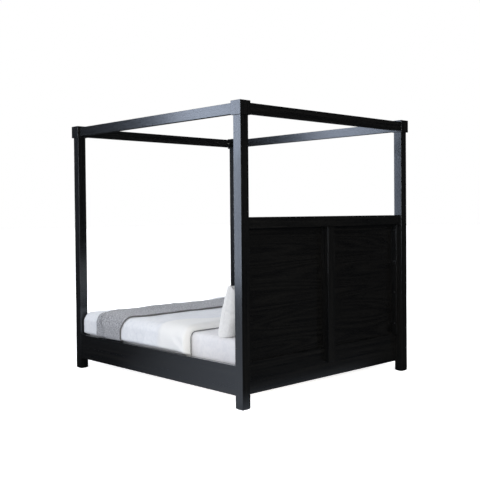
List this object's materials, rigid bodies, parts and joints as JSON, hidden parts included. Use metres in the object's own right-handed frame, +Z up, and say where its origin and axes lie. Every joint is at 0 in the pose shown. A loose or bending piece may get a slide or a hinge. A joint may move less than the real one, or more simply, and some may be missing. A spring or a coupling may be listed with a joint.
{
  "type": "four poster canopy bed",
  "caption": "Black-stained oak canopy bed: square posts with corner caps, top rails, panelled headboard, low rails, slats, mattress, duvet, throw and pillows.",
  "frame": {"origin": "on the floor under the middle of the bed, at the bottom centre of the overall box", "axes": "+Z up, +Y towards the headboard, +X to the right of someone at the foot who faces the headboard"},
  "size_m": [1.991, 2.239, 2.18],
  "materials": {
    "black_oak": "black stain, satin lacquer, open grain",
    "plain_pine": "planed, unfinished",
    "beech": "fluted dowel, unfinished",
    "zinc_steel": "zinc plated",
    "bracket_steel": "black powder coat",
    "black_plastic": "moulded, fine texture",
    "felt": "pressed wool felt",
    "strap_webbing": "woven polyester tape",
    "white_sheet": "white cotton percale",
    "white_duvet": "white washed cotton, grey piping",
    "grey_throw": "heather grey woven wool",
    "white_pillow": "white cotton pillowcase"
  },
  "bodies": {
    "bedstead": {"beam_hanger_foot": "bracket_steel", "beam_hanger_head": "bracket_steel", "bracket_lag_bolts": "zinc_steel", "bracket_screws": "zinc_steel", "canopy_cross_nuts": "zinc_steel", "canopy_dowels": "beech", "canopy_rail_foot": "black_oak", "canopy_rail_head": "black_oak", "canopy_rail_left": "black_oak", "canopy_rail_right": "black_oak", "canopy_studs": "zinc_steel", "centre_beam": "plain_pine", "centre_leg_foot": "plain_pine", "centre_leg_head": "plain_pine", "centre_leg_middle": "plain_pine", "corner_cap_foot_left": "black_oak", "corner_cap_foot_right": "black_oak", "corner_cap_head_left": "black_oak", "corner_cap_head_right": "black_oak", "foot_rail": "black_oak", "foot_rail_bracket_left": "bracket_steel", "foot_rail_bracket_right": "bracket_steel", "hanger_screws": "zinc_steel", "headboard_bottom_rail": "black_oak", "headboard_centre_batten": "black_oak", "headboard_dowels": "beech", "headboard_lag_bolts": "bracket_steel", "headboard_panel_left": "black_oak", "headboard_panel_right": "black_oak", "headboard_side_batten_left": "black_oak", "headboard_side_batten_right": "black_oak", "headboard_top_rail": "black_oak", "ledger_screws": "zinc_steel", "leg_inserts": "zinc_steel", "leg_studs": "zinc_steel", "post_foot_left": "black_oak", "post_foot_right": "black_oak", "post_glides": "felt", "post_head_left": "black_oak", "post_head_right": "black_oak", "side_rail_bracket_foot_left": "bracket_steel", "side_rail_bracket_foot_right": "bracket_steel", "side_rail_bracket_head_left": "bracket_steel", "side_rail_bracket_head_right": "bracket_steel", "side_rail_left": "black_oak", "side_rail_right": "black_oak", "slat_ledger_left": "plain_pine", "slat_ledger_right": "plain_pine", "slat_straps": "strap_webbing", "slats": "plain_pine"},
    "mattress": {"mattress": "white_sheet"},
    "duvet": {"duvet": "white_duvet"},
    "throw": {"throw": "grey_throw"},
    "pillow_left": {"pillow_left": "white_pillow"},
    "pillow_right": {"pillow_right": "white_pillow"},
    "foot_head": {"levelling_foot_head": "black_plastic"},
    "foot_middle": {"levelling_foot_middle": "black_plastic"},
    "foot_foot": {"levelling_foot_foot": "black_plastic"}
  },
  "joints": [
    {"name": "mattress_lift", "type": "slide", "parent": "bedstead", "child": "mattress", "axis": [0, 0, 1], "range_m": [0, 0.3]},
    {"name": "duvet_lift", "type": "slide", "parent": "mattress", "child": "duvet", "axis": [0, 0, 1], "range_m": [0, 0.3]},
    {"name": "throw_lift", "type": "slide", "parent": "duvet", "child": "throw", "axis": [0, 0, 1], "range_m": [0, 0.3]},
    {"name": "pillow_left_lift", "type": "slide", "parent": "mattress", "child": "pillow_left", "axis": [0, 0, 1], "range_m": [0, 0.3]},
    {"name": "pillow_right_lift", "type": "slide", "parent": "mattress", "child": "pillow_right", "axis": [0, 0, 1], "range_m": [0, 0.3]},
    {"name": "levelling_foot_head_raise", "type": "slide", "parent": "bedstead", "child": "foot_head", "axis": [0, 0, 1], "range_m": [0, 0.012]},
    {"name": "levelling_foot_middle_raise", "type": "slide", "parent": "bedstead", "child": "foot_middle", "axis": [0, 0, 1], "range_m": [0, 0.012]},
    {"name": "levelling_foot_foot_raise", "type": "slide", "parent": "bedstead", "child": "foot_foot", "axis": [0, 0, 1], "range_m": [0, 0.012]}
  ]
}
